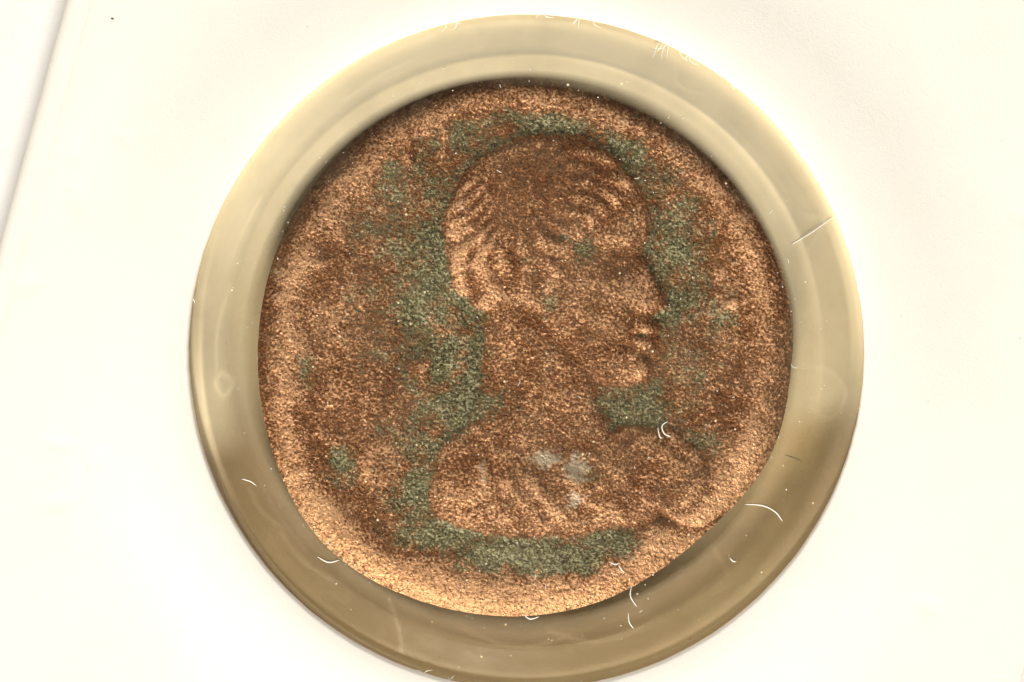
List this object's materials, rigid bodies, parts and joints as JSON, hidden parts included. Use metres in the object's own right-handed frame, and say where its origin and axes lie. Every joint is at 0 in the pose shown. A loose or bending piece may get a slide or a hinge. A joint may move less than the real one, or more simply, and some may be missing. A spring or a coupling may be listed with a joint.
{
  "type": "coin holder",
  "caption": "Square folding card coin holder with round film windows on both faces, closed over a worn bronze coin.",
  "frame": {"origin": "under the middle of the closed square, on the surface that the back film rests on", "axes": "+Z out of the front window, the fold runs along Y at the -X side"},
  "size_m": [0.0508, 0.0508, 0.0025],
  "materials": {
    "white_board": "uncoated white board, slightly worn at the cut edges",
    "clear_film": "clear polyester film, faintly yellowed, with light scuffs",
    "adhesive_coat": "thin clear pressure sensitive coat, slightly cloudy",
    "worn_bronze": "old bronze, brown patina with green verdigris in the hollows"
  },
  "bodies": {
    "back_leaf": {"back_card": "white_board", "back_film": "clear_film", "back_adhesive": "adhesive_coat", "fold_crease": "white_board"},
    "front_leaf": {"front_card": "white_board", "front_film": "clear_film", "front_adhesive": "adhesive_coat"},
    "coin": {"coin": "worn_bronze"}
  },
  "joints": [
    {"name": "front_fold", "type": "hinge", "parent": "back_leaf", "child": "front_leaf", "pos_m": [-0.02484, 0, 0.00123], "axis": [0, -1, 0], "range_deg": [0, 180]},
    {"name": "coin_spin", "type": "hinge", "parent": "back_leaf", "child": "coin", "pos_m": [-0.0009, 0.00001, 0.00123], "axis": [0, 0, 1], "continuous": true}
  ]
}
